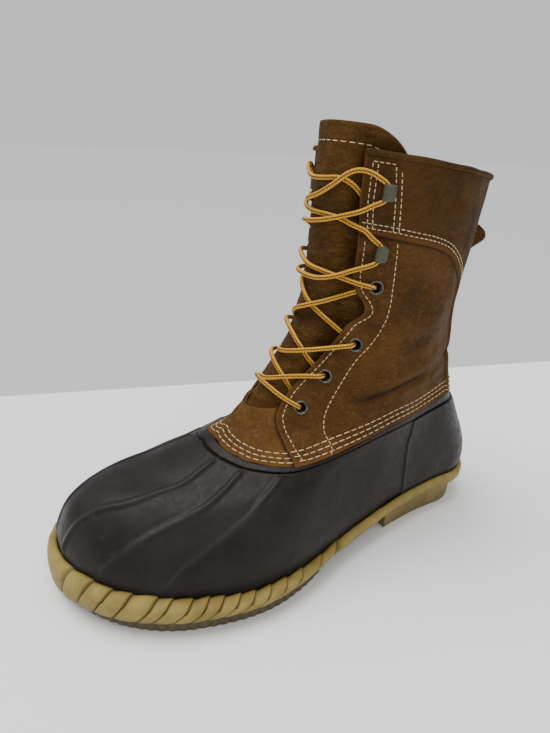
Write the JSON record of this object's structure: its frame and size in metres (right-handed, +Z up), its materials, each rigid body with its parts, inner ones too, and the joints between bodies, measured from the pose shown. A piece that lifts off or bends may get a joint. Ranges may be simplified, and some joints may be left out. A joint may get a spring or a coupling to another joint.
{
  "type": "duck boot",
  "caption": "Left laced duck boot: brown leather shaft, dark rubber bottom, gum outsole with a rope-lug rand and a heel block.",
  "frame": {"origin": "on the floor, at the middle of the part's footprint box", "axes": "+Y from toe to heel, +Z up, +X to the outer (lateral) side of the left foot"},
  "size_m": [0.129, 0.308, 0.2625],
  "materials": {
    "leather": "oiled nubuck-like brown leather, matte",
    "leather_edge": "raw cut edge and rolled binding leather",
    "rubber": "satin moulded rubber, brown-black",
    "gum": "matte gum rubber",
    "brass": "antique brass",
    "hook": "olive-brown lacquered metal",
    "lace": "round braided lace, gold with brown flecks",
    "felt": "dark fabric-topped insole"
  },
  "bodies": {
    "root": {"outsole": "gum", "heel_block": "gum", "rubber_shell": "rubber", "upper": "leather", "tongue": "leather", "insole": "felt", "collar_binding": "leather_edge", "backstay": "leather_edge", "eyelet_lateral_1": "brass", "eyelet_lateral_2": "brass", "eyelet_lateral_3": "brass", "eyelet_lateral_4": "brass", "hook_lateral_1": "hook", "hook_lateral_2": "hook", "eyelet_medial_1": "brass", "eyelet_medial_2": "brass", "eyelet_medial_3": "brass", "eyelet_medial_4": "brass", "hook_medial_1": "hook", "hook_medial_2": "hook", "lace_bar": "lace", "lace_crossing_1": "lace", "lace_crossing_2": "lace", "lace_crossing_3": "lace", "lace_crossing_4": "lace", "lace_crossing_5": "lace"}
  },
  "joints": []
}
